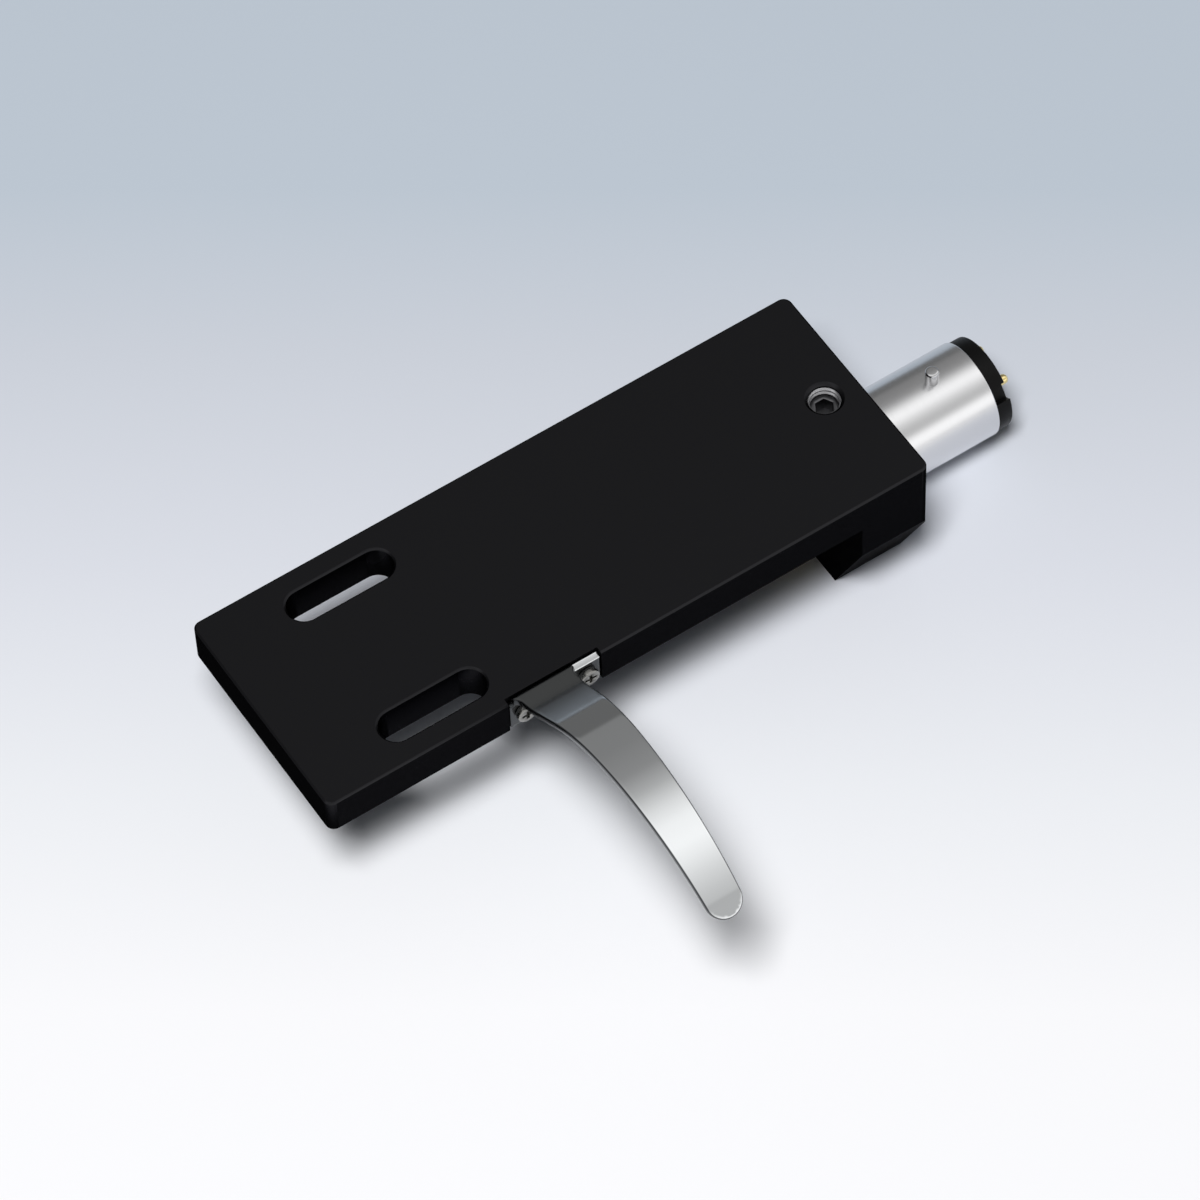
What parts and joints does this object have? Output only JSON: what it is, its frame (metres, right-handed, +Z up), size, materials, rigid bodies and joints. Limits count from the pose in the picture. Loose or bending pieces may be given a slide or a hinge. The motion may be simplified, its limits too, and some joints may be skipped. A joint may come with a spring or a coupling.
{
  "type": "turntable headshell",
  "caption": "Flat slotted headshell with a round plug with locking pin and contact tips at the rear and a curved sheet finger lift on one side; it carries a cartridge under its plate.",
  "frame": {"origin": "on the axis of the plug's tube, in the plane of the body's flat rear face that meets the tonearm", "axes": "+X along the tube, back towards the tonearm; +Z up, square to the flat top; +Y to the side away from the finger lift"},
  "size_m": [0.0658, 0.0437, 0.0197],
  "materials": {
    "black_metal": "satin black anodised",
    "satin_aluminium": "satin, turned",
    "pin_steel": "bright",
    "black_plastic": "moulded, slightly matte",
    "washer_rubber": "soft matte",
    "dark_steel": "blackened",
    "polished_sheet": "polished",
    "screw_steel": "bright plated",
    "gold_plate": "gold plated, bright"
  },
  "bodies": {
    "root": {"body": "black_metal", "connector_tube": "satin_aluminium", "locking_pin": "pin_steel", "insulator": "black_plastic", "rubber_washer": "washer_rubber", "set_screw": "dark_steel", "finger_lift": "polished_sheet", "lift_screws": "screw_steel", "contact_upper_left": "gold_plate", "contact_upper_right": "gold_plate", "contact_lower_left": "gold_plate", "contact_lower_right": "gold_plate"}
  },
  "joints": []
}
